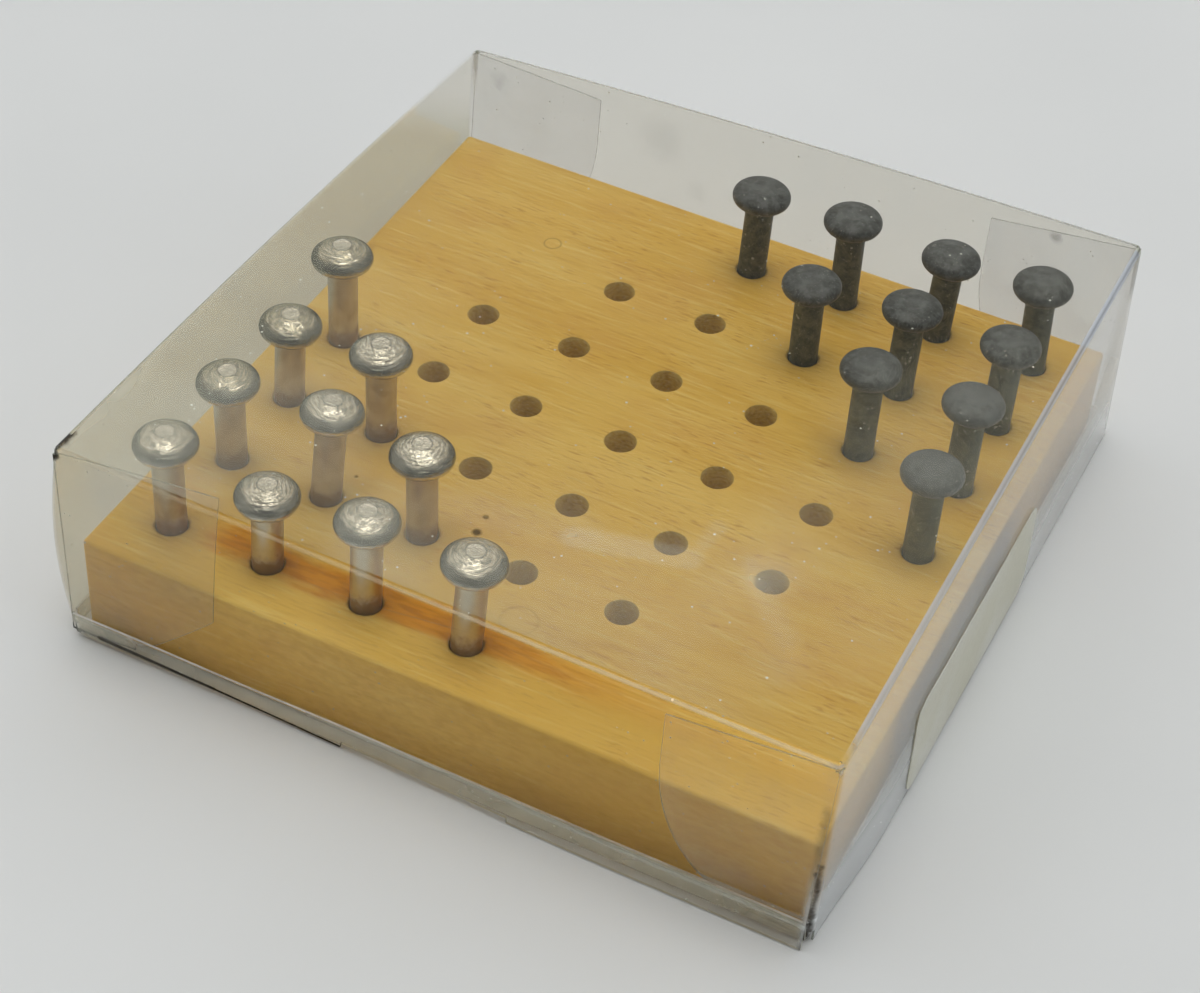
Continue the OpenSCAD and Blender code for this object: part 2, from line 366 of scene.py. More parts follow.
TOP = LID_HIGH.z
CLEAR = (0.985, 0.984, 0.978)
YELLOWED = (0.914, 0.900, 0.866)
FLAP_TINT = (0.955, 0.960, 0.985)
# The tone of the haze on the lid's top, also used for its painted highlights of dents and ridges
TOP_HAZE_AND_HIGHLIGHT_TONE = (0.83, 0.84, 0.72)
# The dark of dirt on the film, also used for painted shade
DIRT_AND_SHADE_TONE = (0.035, 0.028, 0.020)

# Round marks on the lid's top: each with its centre, radius, softness and strength
MILKY = (((42.0, -25.0, TOP), 15.0, 0.6, 0.08), ((46.0, 5.0, TOP), 16.0, 0.5, 0.11),
         ((-9.4, -47.7, TOP), 7.0, 0.5, 0.09), ((-37.4, -47.9, TOP), 7.0, 0.5, 0.01))
CLEAN = (((-22.0, -50.0, TOP), 8.0, 0.4, 0.60), ((-40.0, -50.0, TOP), 9.0, 0.5, 0.35))
# Painted highlights at the ends of dents in the top
DENT_END_HIGHLIGHTS = (((32.4, -29.0, TOP), 3.2, 0.6, 0.08), ((40.0, -42.0, TOP), 2.4, 0.9, 0.05))
TOP_DIRT = (((-0.7, -36.6, TOP), 0.35, 0.5, 0.6), ((-0.4, -39.4, TOP), 0.55, 0.5, 0.8),
            ((-17.4, -38.2, TOP), 0.25, 0.5, 0.5))

# Straight marks on it: each with its two ends, width, softness and strength
# Painted highlights where the creases of dents in the top catch the light
DENT_HIGHLIGHTS = (((-12.0, -39.0, TOP), (10.0, -33.0, TOP), 2.6, 0.6, 0.05),
         ((10.0, -34.5, TOP), (23.0, -31.0, TOP), 2.0, 0.4, 0.13),
         ((23.6, -28.3, TOP), (24.0, -24.5, TOP), 1.0, 0.7, 0.08),
         ((29.6, -27.6, TOP), (30.6, -30.2, TOP), 0.9, 1.0, 0.06),
         ((32.0, -31.0, TOP), (38.4, -37.6, TOP), 1.5, 0.9, 0.08))
# Painted highlights along the top's left and front ridges
BRIGHT_EDGES = (((-50.5, -40.0, TOP), (-50.5, 45.0, TOP), 1.2, 0.6, 0.05),
                ((-30.0, -50.9, TOP), (-2.0, -50.6, TOP), 0.12, 0.6, 0.10))

# Marks on the walls. A slack part of the front wall is bounded by a fine crease, which is drawn only
# as a painted highlight along it
CREASE_HIGHLIGHTS = (((-31.5, -52.4, 26.2), (-9.0, -52.4, 27.1), 0.10, 0.5, 0.22),
          ((-9.0, -52.4, 27.1), (4.0, -52.4, 29.2), 0.09, 0.5, 0.22),
          ((4.0, -52.4, 29.2), (16.0, -52.4, 31.0), 0.08, 0.5, 0.15))
# A dark line along the front rim, left of the thumb notch
DARK_RIM_LINE = (((-47.0, -52.3, 1.35), (-30.0, -52.4, 0.85), 0.34, 0.4, 0.9),
             ((-30.0, -52.4, 0.85), (-11.8, -52.7, 0.35), 0.26, 0.4, 0.9))
SMUDGES = (((-20, 52, 23.9), 3.0, 0.9, 0.09), ((-13.6, 52, 16.7), 1.4, 0.9, 0.06),
           ((-46.2, 52, 25), 1.2, 0.9, 0.08))


def film_material(n, tint, rough=0.12, haze_and_highlights=None, haze_and_highlight_tone=TOP_HAZE_AND_HIGHLIGHT_TONE, dirt_and_shade=None, **gloss):
    """Clear film that mirrors more at a flat angle. Haze and painted highlights whiten it, and dirt
    and painted shade darken it.
    """
    facing = n.add("LayerWeight", {"Blend": 0.5}).outputs["Facing"]
    mirror = n.total(n.times(n.maths("POWER", facing, 5.0), 0.88), 0.005)
    body = n.plain("Transparent", tint)
    for cover, colour in ((haze_and_highlights, haze_and_highlight_tone), (dirt_and_shade, DIRT_AND_SHADE_TONE)):
        if cover is not None:
            body = n.blend(cover, body, n.plain("Diffuse", colour))
    shine = n.plain("Glossy", (1.0, 1.0, 1.0), Roughness=rough, **gloss)
    return n.output(n.blend(mirror, body, shine))


def wear(n, amount):
    """Dust specks and fine scratches on the film."""
    size = n.noise(0.4, 9, 2.0, 0.5)
    speck = n.maths("LESS_THAN", n.cells(0.80), n.between(size, 0.40, 0.75, 0.010, 0.14))
    worn = [n.times(speck, 0.62 * amount)]
    gate = n.between(size, 0.45, 0.60)
    for turn, scale, shift in ((32, (0.10, 1.4, 0.3), 0), (-48, (0.13, 1.9, 0.3), 40)):
        scratch = n.cells(scale, (shift, shift, 0), turn)
        worn.append(n.times(n.between(scratch, 0.035, 0.0), gate, 0.26 * amount))
    return n.total(*worn)


def film_top_material():
    """The lid's top: yellowed, milky on the left and in front, with painted highlights of dents
    towards the front right.
    """
    n = Nodes("lid_film_top")
    x, y = n.axes()[:2]
    cloud = n.noise(0.03)
    left = n.times(n.between(x, -50.0, 0.0, 0.105, 0.0), n.between(y, -25.0, 40.0, 1.0, 0.15))
    front = n.times(n.between(y, -56.0, -4.0, 0.125, 0.0), n.between(x, 28.0, 46.0, 1.0, 0.2))
    back_right = n.times(n.between(x, 36.0, 46.0), n.between(y, 5.0, 20.0), 0.05)
    milky = n.times(n.total(left, front, n.marks(n.spot, MILKY), back_right),
                    n.between(cloud, 0.30, 0.72, 0.5, 1.5), n.rest(n.marks(n.spot, CLEAN)))
    blur = n.swing(cloud, 4.0)
    # The haze also holds the painted highlights of the dents and the ridges
    haze_and_highlights = n.total(
        milky, 0.004, n.marks(n.streak, DENT_HIGHLIGHTS, blur), n.marks(n.spot, DENT_END_HIGHLIGHTS, blur),
        n.marks(n.streak, BRIGHT_EDGES), wear(n, 1.0))
    ragged = n.swing(n.noise(0.9, rough=0.7), 1.3)
    dirt_and_shade = n.total(
        n.streak((-51.5, -52.2, TOP), (-51.2, -49.2, TOP), 1.1, 0.3, ragged),
        n.times(n.ring((-18.2, 14.4, TOP), 1.2, 0.14), 0.28),
        n.times(n.ring((10.7, -49.8, TOP), 2.2, 0.25), 0.10),
        n.marks(n.spot, TOP_DIRT))
    ripple = n.noise(0.045, (5, 2, 7), 2.0, 0.5)
    return film_material(n, YELLOWED, 0.09, haze_and_highlights, TOP_HAZE_AND_HIGHLIGHT_TONE, dirt_and_shade, Normal=n.bump(ripple, 0.4, 1.2))


def film_wall_material(name, milk, body=CLEAR, milk_and_highlight_tone=(0.82, 0.83, 0.73)):
    """Walls and flaps of the lid and the tray, with smudges, a dark line low down in front, painted
    highlights, painted reflection and painted shade.
    """
    n = Nodes(name)
    x, y, z = n.axes()
    right = n.between(x, 49.5, 50.8)
    left = n.between(x, -50.6, -50.9)
    front = n.between(y, -50.8, -51.6)
    back = n.between(y, 51.0, 51.8)
    high = n.between(z, 22.0, 28.0)
    # Where the film is bent, painted highlights make it brighter on the front and right ridges, and
    # it is greyer along the back and left ridges
    bent = n.add("Attribute", attribute_name="fold").outputs["Fac"]
    ridge, wide, round_edge = (n.times(n.between(bent, low, full), high)
                               for low, full in ((0.72, 1.0), (0.55, 0.95), (0.02, 0.35)))
    pale = n.times(wide, front, n.between(z, 29.4, 30.4), n.between(x, -45.0, 36.0, 0.15, 0.42))
    right_ridge_highlight = n.times(round_edge, right, n.between(y, -52.0, -44.0), 0.62)
    behind = n.times(round_edge, back)
    beside = n.times(round_edge, left)
    grey_ridges = n.total(n.times(behind, 0.42), n.times(beside, 0.22))
    # Painted reflection: low on the right wall the film is made hazy and grey-blue, for the floor
    # that it mirrors there, which hides the wood's shaded side
    low = n.times(right, n.between(z, 17.0, 6.0, 0.03, 0.42))
    # Light gathers in the tray's front rim towards its right end
    rim = TRAY_HIGH.z
    lit = n.times(front, n.between(z, rim - 0.9, rim - 0.4), n.between(z, rim + 0.2, rim),
                  n.between(x, -28.0, 0.0), 0.30)
    veil = n.between(n.noise(0.05, 3), 0.3, 0.7, 0.35 * milk, 1.5 * milk)
    haze_and_highlights = n.total(veil, pale, right_ridge_highlight, grey_ridges, low, lit, n.marks(n.streak, CREASE_HIGHLIGHTS), wear(n, 0.8))
    blot = n.swing(n.noise(0.5, 6, rough=0.7), 4.5)
    small = n.times(blot, 0.25)
    middling = n.times(blot, 0.3)
    dirt_and_shade = n.total(
        n.streak((-51.5, -52.2, TOP - 0.6), (-51.2, -49.6, TOP - 0.2), 1.0, 0.3, small),
        n.times(n.streak((50.9, -52.3, 1.0), (51.2, -52.3, 14.0), 0.55, 0.7, small), 0.75),
        n.times(n.streak((50.6, -52.3, 2.0), (50.9, -52.3, 24.0), 0.6, 0.8, middling), 0.24),
        n.times(n.spot((51.0, -52.5, 0.6), 1.2, 0.4, middling), 0.8),
        n.times(n.spot((39.3, 52, 29.2), 0.9, 0.6, n.times(blot, 0.4)), 0.30),
        n.marks(n.streak, DARK_RIM_LINE), n.marks(n.spot, SMUDGES, blot),
        # Painted shade on the front, below the tray's rim, where the gap between lid and tray lies
        n.times(front, n.between(z, rim + 0.1, rim - 0.3), n.between(x, -10.0, 45.0, 0.0, 0.03)),
        n.times(ridge, back, n.between(x, -50.0, 20.0, 0.10, 0.30)),
        n.times(ridge, right, n.between(y, -20.0, 20.0, 0.05, 0.35)),
        n.times(ridge, left, 0.12))
    # Low on the right wall the film's tint is grey-blue as well, for the same painted reflection
    tint = n.laid(
        body, (left, (0.750, 0.732, 0.630)),
        (n.times(right, n.between(z, 18.0, 5.0, 0.55, 1.0)), (0.870, 0.900, 0.945)),
        (n.times(right, n.between(y, 5.0, 35.0)), (0.840, 0.825, 0.795)),
        (front, (0.998, 0.984, 0.952)))
    # The haze's tone: warm in the painted highlight of the front ridge, grey-blue in the painted
    # highlight of the right ridge and in the painted reflection low on the right wall, and grey on
    # the back and left ridges
    tone = n.laid(
        milk_and_highlight_tone, (n.times(wide, front), (0.98, 0.86, 0.64)),
        (n.times(right, n.between(z, 17.0, 6.0)), (0.90, 0.93, 0.94)),
        (n.times(round_edge, right), (0.54, 0.60, 0.68)),
        (n.maths("MAXIMUM", behind, beside), (0.50, 0.52, 0.43)))
    return film_material(n, tint, 0.12, haze_and_highlights, tone, dirt_and_shade)


def film_edge_material(name, dark, pale, cover):
    """The cut edge of the film. Light that runs along the sheet makes it pale or dark."""
    n = Nodes(name)
    x, y, z = n.axes()
    # The front edge is black left of the thumb notch, and pale right of its end
    notch = -NOTCH_W / 2
    front = n.times(n.between(y, -51.6, -51.9), n.between(z, 2.6, 1.8))
    colour = n.laid(
        dark, (n.between(n.noise(0.25, rough=0.5), 0.35, 0.65), pale),
        (n.times(front, n.between(x, notch + 0.1, notch + 0.2)), (0.62, 0.60, 0.50)),
        (n.times(front, n.between(x, notch + 0.2, notch + 0.1)), (0.012, 0.011, 0.010)))
    return n.output(n.blend(
        n.maths("MAXIMUM", n.times(front, 0.95), cover), n.plain("Transparent", (0.9, 0.9, 0.88)),
        n.principled(Base_Color=colour, Roughness=0.3)))


# Metal, paper and floor

def turned(n, along):
    """Coordinates on a turned part: stretched round its axis and along its outline."""
    uv = n.add("TexCoord").outputs["UV"]
    return n.vector("MULTIPLY", uv, (14.0, along, 1.0))


def height_along(n):
    """Place along a turned part's outline in millimetres, 0 at its crown and less below it."""
    uv = n.add("TexCoord").outputs["UV"]
    return n.add("SeparateXYZ", {0: uv}).outputs["Y"]


def bright_head_material():
    """Bright metal heads: turned, dented and dull with age, with painted glints, a painted dark
    reflection round their lower rim, painted shade beneath it and a painted lighter reflection on
    their flat.
    """
    n = Nodes("bright_head")
    x, y = n.axes()[:2]
    worn = n.noise(0.55, 0, 2.0, 0.5)
    fine = n.noise(2.2, rough=0.65)
    rings = n.noise_on(turned(n, 3.0), 2.0)
    down = height_along(n)
    uneven = n.total(down, n.swing(worn, 1.6))
    # The pegs of the back left column have tarnished most
    aged = n.times(n.between(x, -32.0, -37.0), n.between(y, -37.0, -33.0))
    # Painted glints: bright turned streaks in the band where the head mirrors the light overhead
    glint = n.times(n.between(rings, 0.44, 0.34), n.between(uneven, -3.6, -2.9),
                    n.between(uneven, -1.5, -1.9))
    # Painted reflection: a dark band round the lower rim, where the head mirrors the dark side of
    # the room in front
    dark_reflection = n.times(n.between(uneven, -2.9, -3.9), n.between(down, -5.3, -4.7))
    lip = n.between(n.maths("ABSOLUTE", n.total(down, 1.25)), 0.16, 0.0)
    colour = n.laid(
        (0.97, 0.93, 0.83),
        (n.between(worn, 0.35, 0.7), (0.78, 0.75, 0.65)),
        (n.times(aged, 0.55), (0.46, 0.42, 0.28)),
        (n.between(rings, 0.46, 0.58, 0.0, 0.55), (0.36, 0.36, 0.31)),
        (n.between(fine, 0.50, 0.66, 0.0, 0.30), (0.34, 0.33, 0.27)),
        (glint, (0.97, 0.95, 0.88)),
        (n.times(dark_reflection, 0.72), (0.07, 0.085, 0.085)),
        # Painted shade under the head
        (n.between(down, -5.3, -5.8, 0.0, 0.85), (0.13, 0.13, 0.12)),
        # Painted reflection: the flat of the crown is lighter
        (n.between(down, -1.3, -1.15, 0.0, 0.7), (0.86, 0.84, 0.77)),
        (n.times(lip, 0.60), (0.25, 0.24, 0.20)))
    relief = n.total(worn, rings, n.times(fine, 0.40))
    return n.output(n.principled(
        Base_Color=colour, Metallic=1.0,
        Roughness=n.between(fine, 0.3, 0.75, 0.15, 0.26),
        Specular_Tint=(0.55, 0.57, 0.55), Normal=n.bump(relief, 1.0, 0.17)))


def foot_grime(n):
    """Dark grime on a shank just above the board, fainter below the mouth of its hole."""
    z = n.total(n.axes()[2], n.swing(n.noise((0.9, 0.9, 0.7), 5, 4.0, 0.7), -4.5))
    top = BOARD_HIGH.z
    return n.times(n.between(z, top + 3.3, top + 0.9), n.between(z, top - 3.0, top - 0.8, 0.30, 1.0))


def bright_shank_material():
    """Dull drawn metal, with painted light on the front of the shanks of the front row's pegs after
    the first.
    """
    n = Nodes("bright_shank")
    x, y = n.axes()[:2]
    drawn = n.noise_on(turned(n, 0.35))
    worn = n.noise((0.5, 0.5, 0.4))
    foot = n.times(foot_grime(n), 0.95)
    # Painted light on the front of the front row's shanks
    front_lit = n.times(n.between(y, -42.0, -43.5), n.between(x, -36.0, -32.0))
    colour = n.laid(
        (0.54, 0.48, 0.36), (n.between(worn, 0.3, 0.75), (0.40, 0.34, 0.23)),
        (foot, (0.24, 0.125, 0.026)),
        (n.times(front_lit, n.rest(foot), 0.45), (0.72, 0.70, 0.62)))
    return n.output(n.principled(
        Base_Color=colour, Metallic=n.rest(foot),
        Roughness=n.between(drawn, 0.3, 0.75, 0.30, 0.40),
        Normal=n.bump(n.total(drawn, worn), 0.08, 0.05)))


def black_material(name, dark, grey, rough_low, rough_high, dusted):
    """Blackened metal, rubbed grey, dusty and with painted light towards the crown and the front
    right, with specks up to a given reach.
    """
    n = Nodes(name)
    x, y = n.axes()[:2]
    cloud = n.noise(0.7, 0, 4.0, 0.65)
    fine = n.noise(3.0, (3, 1, 4), 3.0, 0.7)
    uneven = n.total(height_along(n), n.swing(cloud, 3.0))
    # Dust and painted light make the heads greyer towards their crown, and make the pegs of the
    # front right column the greyest
    dust_and_painted_light = n.total(
        n.between(uneven, -4.0, -1.0, 0.0, 0.50), n.between(cloud, 0.40, 0.66, 0.0, 0.55),
        n.between(n.maths("SUBTRACT", x, y), 8.0, 34.0, 0.0, 0.35))
    reach = n.between(n.noise(0.7, 2, 1.0, 0.5), 0.42, 0.75, 0.0, dusted)
    speck = n.maths("LESS_THAN", n.cells(1.3, (4, 1, 6)), reach)
    colour = n.laid(
        dark, (dust_and_painted_light, grey), (n.times(speck, 0.6), (0.50, 0.49, 0.44)),
        (n.between(fine, 0.38, 0.68, 0.0, 0.40), grey))
    return n.output(n.principled(
        Base_Color=colour, Specular_IOR_Level=0.5,
        Roughness=n.between(cloud, 0.3, 0.75, rough_low, rough_high),
        Normal=n.bump(n.total(cloud, n.times(fine, 0.5)), 0.35, 0.12)))


def paper_material():
    n = Nodes("label_paper")
    fibre = n.noise(1.4, 0, 5.0, 0.7)
    colour = n.laid(
        (0.74, 0.74, 0.67),
        (n.between(n.noise(0.06, 0, 2.0, 0.5), 0.35, 0.7), (0.68, 0.67, 0.56)),
        (n.between(fibre, 0.4, 0.8, 0.0, 0.25), (0.50, 0.48, 0.38)))
    return n.output(n.principled(Base_Color=colour, Roughness=0.72, Normal=n.bump(fibre, 0.3, 0.03)))


def floor_material():
    n = Nodes("studio_floor")
    cloud = n.between(n.noise(0.01, rough=0.5), 0.3, 0.7)
    colour = n.mix(cloud, (0.775, 0.785, 0.775), (0.745, 0.755, 0.745))
    return n.output(n.principled(Base_Color=colour, Roughness=0.6, Specular_IOR_Level=0.2))


WOOD = wood_material()
DRILLED = hole_material()
EDGE = film_edge_material("film_cut_edge", (0.24, 0.26, 0.20), (0.42, 0.45, 0.38), 0.42)
TRAY_EDGE = film_edge_material("tray_cut_edge", (0.62, 0.62, 0.60), (0.80, 0.80, 0.78), 0.75)

# The film's inner faces are as clear as its outer ones, without their wear
INSIDE = film_material(Nodes("film_inside"), CLEAR)
LID_FILM = [film_top_material(), film_material(Nodes("film_top_inside"), YELLOWED), EDGE,
            film_wall_material("lid_film_wall", 0.012), INSIDE, EDGE,
            film_wall_material("lid_film_flap", 0.105, FLAP_TINT, (0.82, 0.84, 0.86)), INSIDE, EDGE]
TRAY_FILM = [film_wall_material("tray_film", 0.26), INSIDE, TRAY_EDGE] * 3
BRIGHT_HEAD = bright_head_material()
BRIGHT_SHANK = bright_shank_material()
BLACK_HEAD = black_material("black_head", (0.016, 0.021, 0.019), (0.150, 0.168, 0.176),
                            0.36, 0.55, 0.20)
BLACK_SHANK = black_material("black_shank", (0.018, 0.031, 0.022), (0.165, 0.172, 0.112),
                             0.42, 0.58, 0.30)
PAPER = paper_material()


# The wooden block

def lattice_cells():
    """Row, column and centre of each cell of the lattice, and whether it has a hole."""
    middle = (LATTICE + 1) / 2
    for row in range(1, LATTICE + 1):
        for column in range(1, LATTICE + 1):
            centre = ((column - middle) * PITCH, (row - middle) * PITCH)
            yield row, column, centre, abs(row - column) <= MAX_OFFSET


def peg_nodes():
    """Each peg's node with its axis and the middle of its hole's mouth, in millimetres."""
    axes = {j["child"]: Vector(j["axis"]).normalized() for j in frame["joints"]}
    found = []
    for name in sorted(frame["nodes"]):
        if "_peg_" in name:
            low, high = corners(name)
            x, y = (round((low[i] + high[i]) / 2 / PITCH) * PITCH for i in (0, 1))
            found.append((name, axes[name], Vector((x, y, BOARD_HIGH.z))))
    return found


def peg_heights(name, axis, mouth):
    """How high each point of a peg's solid lies over the mouth of its hole, along the peg."""
    return [(p.co / MM - mouth).dot(axis) for p in frame["nodes"][name].data.vertices]


def hole_at(centre):
    """A hole's axis and depth: those of its peg, or an upright axis where there is none."""
    for name, axis, mouth in PEGS:
        if dist(mouth[:2], centre) < HOLE_R:
            return axis, -min(peg_heights(name, axis, mouth))
    return Vector((0, 0, 1)), HOLE_DEPTH


PEGS = peg_nodes()

# Points along one side of a cell's square, and round a hole
RIM_POINTS = 8
HOLE_RING = 4 * RIM_POINTS

# A hole's softened rim, the ring of flat wood round it and the drill's cone below it, which
# goes this much deeper in each half of its radius
HOLE_ROUND = 0.16
HOLE_FLAT = 1.3
CONE_STEP = 0.5 * HOLE_R / tan(radians(59))

# The rows of faces that belong to the top, how far a hole goes on below its peg, and how far
# the block's edges are rounded
TOP_ROWS = 3
HOLE_SPARE = 0.15
BLOCK_ROUND = 0.45


def square_ring(centre, half):
    """Points round a square, starting at its corner towards -X and -Y."""
    x, y = centre
    line = [half * (2 * i / RIM_POINTS - 1) for i in range(RIM_POINTS)]
    return ([(x + t, y - half) for t in line] + [(x + half, y + t) for t in line]
            + [(x - t, y + half) for t in line] + [(x - half, y - t) for t in line])


def hole_rings(centre, axis, depth, seed):
    """Rings down a hole, from just outside its softened rim to the drill's cone."""
    profile = [(HOLE_R + HOLE_FLAT, 0.0), (HOLE_R + HOLE_ROUND, 0.0),
               (HOLE_R + HOLE_ROUND * 0.3, HOLE_ROUND * 0.3), (HOLE_R, HOLE_ROUND)]
    profile += [(HOLE_R, d) for d in steps(1.0, depth, 1.2)]
    profile += [(HOLE_R * 0.5, depth + CONE_STEP)]
    # The rings start at the corner where the squares start
    turns = [2 * pi * (i / HOLE_RING - 0.375) for i in range(HOLE_RING)]
    rings = []
    for radius, down in profile:
        base = Vector((*centre, BOARD_HIGH.z)) - axis * down / axis.z
        rough = 0.05 if radius < HOLE_R + 1 else 0.0
        ring = []
        for x, y in ((cos(t), sin(t)) for t in turns):
            r = radius + rough * noise.noise(Vector((x * 2, y * 2, down + seed * 7)))
            ring.append(Vector((base.x + r * x, base.y + r * y, base.z)))
        rings.append(ring)
    return rings


def make_board():
    bm = bmesh.new()
    half = PITCH / 2
    top = BOARD_HIGH.z
    for row, column, centre, drilled in lattice_cells():
        outer = [(x, y, top) for x, y in square_ring(centre, half)]
        if not drilled:
            xs, ys = (steps(c - half, c + half, PITCH / RIM_POINTS) for c in centre)
            add_grid(bm, [[(x, y, top) for x in xs] for y in ys])
            continue
        axis, depth = hole_at(centre)
        rings = [outer] + hole_rings(centre, axis, depth + HOLE_SPARE, row * 10 + column)
        rings = [ring + ring[:1] for ring in rings]
        made = add_grid(bm, rings)
        for i, face in enumerate(bm.faces[-(len(rings) - 1) * HOLE_RING:]):
            face.material_index = int(i // HOLE_RING >= TOP_ROWS)
        lowest = rings[-1]
        tip = bm.verts.new(lowest[0].lerp(lowest[HOLE_RING // 2], 0.5) - axis * CONE_STEP)
        for a, b in zip(made[-1], made[-1][1:]):
            bm.faces.new((a, b, tip)).material_index = 1
    reach = PITCH * LATTICE / 2
    side = BOARD_HIGH.x
    inner = steps(-reach, reach, PITCH / RIM_POINTS)
    whole = [-side] + inner + [side]
    for s in (-1, 1):
        add_grid(bm, [[(x, s * y, top) for x in whole] for y in (reach, side)])
        add_grid(bm, [[(s * x, y, top) for y in inner] for x in (reach, side)])
        heights = steps(BOARD_LOW.z, top, 3.0)
        add_grid(bm, [[(x, s * side, z) for x in whole] for z in heights])
        add_grid(bm, [[(s * side, y, z) for y in whole] for z in heights])
    add_grid(bm, [[(x, y, BOARD_LOW.z) for x in whole] for y in whole])
    bmesh.ops.remove_doubles(bm, verts=bm.verts, dist=0.001)
    bmesh.ops.recalc_face_normals(bm, faces=bm.faces)
    board = finish_mesh(bm, "wooden_block", [WOOD, DRILLED])
    edge = board.modifiers.new("eased", "BEVEL")
    edge.limit_method = "ANGLE"
    edge.angle_limit = radians(80)
    edge.width = BLOCK_ROUND * MM
    edge.segments = 3
    apply_modifiers(board)
    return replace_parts(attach(board, "board"), "board")


# The pegs

SHANK_R = 2.0
CHAMFER = 0.35
BRIGHT = {"r": 4.1, "crown": 2.25, "under": 1.5, "rim": 1.1, "flat": 1.2, "dip": 0.04}
BLACK = {"r": 4.05, "crown": 1.55, "under": 1.7, "rim": 1.0, "flat": 1.5, "dip": 0.12}
PEG_RING = 72


def arc(centre, r, start, end, count):
    """Points of an arc in the peg's profile, as radius and height, without its first point."""
    turns = [start + (end - start) * i / count for i in range(1, count + 1)]
    return [(centre[0] + r * cos(t), centre[1] + r * sin(t)) for t in turns]


def blend_radius(rim_x, rise, rim):
    """Radius of the arc from the axis, rise above the rim's middle, into the rim."""
    return (rim_x ** 2 + rise ** 2 - rim ** 2) / (2 * (rise - rim))


def crown_cut(head):
    """How much lower a head's flat is than its crown would be without it."""
    dome_r = blend_radius(head["r"] - head["rim"], head["crown"], head["rim"])
    return dome_r - sqrt(dome_r ** 2 - head["flat"] ** 2)


def peg_profile(length, head):
    """Radius and height of a peg's outline, from its end up to the middle of its crown."""
    rim_x = head["r"] - head["rim"]
    rim_z = length - head["crown"]
    dome_r = blend_radius(rim_x, head["crown"], head["rim"])
    dome_z = length - dome_r
    belly_r = blend_radius(rim_x, head["under"], head["rim"])
    belly_z = rim_z - head["under"] + belly_r
    neck = -acos(SHANK_R / belly_r)
    belly_a = atan2(rim_z - belly_z, rim_x)
    dome_a = atan2(rim_z - dome_z, rim_x)
    flat_a = acos(head["flat"] / dome_r)
    neck_z = belly_z + belly_r * sin(neck)
    shank = [(SHANK_R - CHAMFER, 0.0), (SHANK_R - 0.1, CHAMFER * 0.7), (SHANK_R, CHAMFER + 0.15)]
    shank += [(SHANK_R, z) for z in steps(1.5, neck_z - 0.3, 0.9)] + [(SHANK_R + 0.03, neck_z)]
    flat_z = dome_z + dome_r * sin(flat_a)
    crown = arc((0, belly_z), belly_r, neck, belly_a, 6)
    crown += arc((rim_x, rim_z), head["rim"], belly_a, dome_a, 14)
    crown += arc((0, dome_z), dome_r, dome_a, flat_a, 16)
    inner = [(head["flat"] * share, flat_z - head["dip"]) for share in (0.85, 0.6, 0.3)]
    return shank + crown + inner, len(shank), flat_z - head["dip"]


def peg_wobble(point, length, seed, bright):
    """A point of a head that isn't quite round and has dents in its crown, the shank left even."""
    share = smooth(length - 5.2, length - 3.6, point.z)
    place = Vector((point.x * 0.35, point.y * 0.35, seed * 3.1))
    lump = noise.noise(place) * 0.10 + noise.noise(place * 3.3) * 0.025
    if not bright:
        lump *= 0.8
    oval = 0.022 * share * noise.noise(Vector((seed * 1.7, 0.4, 0.2)))
    moved = point.copy()
    moved.x *= 1 + oval
    moved.y *= 1 - oval
    moved.z += share * lump * smooth(4.4, 2.4, hypot(point.x, point.y)) if share else 0
    return moved


def make_peg(name, axis, mouth, seed):
    """A turned peg standing in its hole, with its outline's length in its UV coordinates."""
    bright = name.startswith("bright")
    head = BRIGHT if bright else BLACK
    heights = peg_heights(name, axis, mouth)
    length = max(heights) - min(heights) + crown_cut(head)
    profile, shank_rows, top_z = peg_profile(length, head)
    bm = bmesh.new()
    turns = [2 * pi * i / PEG_RING for i in range(PEG_RING)]
    made = []
    for radius, z in profile:
        ring = (Vector((radius * cos(t), radius * sin(t), z)) for t in turns)
        made.append([bm.verts.new(peg_wobble(p, length, seed, bright)) for p in ring])
    # The outline is measured from the middle of the crown, downwards
    outline = [-profile[-1][0]]
    for a, b in zip(profile[::-1], profile[-2::-1]):
        outline.insert(0, outline[0] - dist(a, b))
    layer = bm.loops.layers.uv.new("turned")

    def face(verts, uvs, material):
        made_face = bm.faces.new(verts)
        made_face.material_index = material
        for loop, uv in zip(made_face.loops, uvs):
            loop[layer].uv = uv

    columns = [(i, (i + 1) % PEG_RING, i / PEG_RING, (i + 1) / PEG_RING) for i in range(PEG_RING)]
    for row, (a, b) in enumerate(zip(made, made[1:])):
        v0, v1 = outline[row], outline[row + 1]
        for i, j, u0, u1 in columns:
            face((a[i], a[j], b[j], b[i]), ((u0, v0), (u1, v0), (u1, v1), (u0, v1)),
                 int(row < shank_rows - 1))
    low = bm.verts.new(Vector((0, 0, 0)))
    high = bm.verts.new(peg_wobble(Vector((0, 0, top_z)), length, seed, bright))
    for i, j, u0, u1 in columns:
        v = outline[0]
        face((made[0][j], made[0][i], low), ((u1, v), (u0, v), (u0, v - SHANK_R)), 1)
        v = outline[-1]
        face((made[-1][i], made[-1][j], high), ((u0, v), (u1, v), (u0, 0)), 0)
    base = mouth + axis * min(heights)
    turn = Vector((0, 0, 1)).rotation_difference(axis).to_matrix()
    spin = Euler((0, 0, seed * 2.4)).to_matrix()
    for vert in bm.verts:
        vert.co = base + turn @ (spin @ vert.co)
    materials = [BRIGHT_HEAD, BRIGHT_SHANK] if bright else [BLACK_HEAD, BLACK_SHANK]
    peg = finish_mesh(bm, name + "_turned", materials, 50)
    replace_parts(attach(peg, name), name)
    return peg


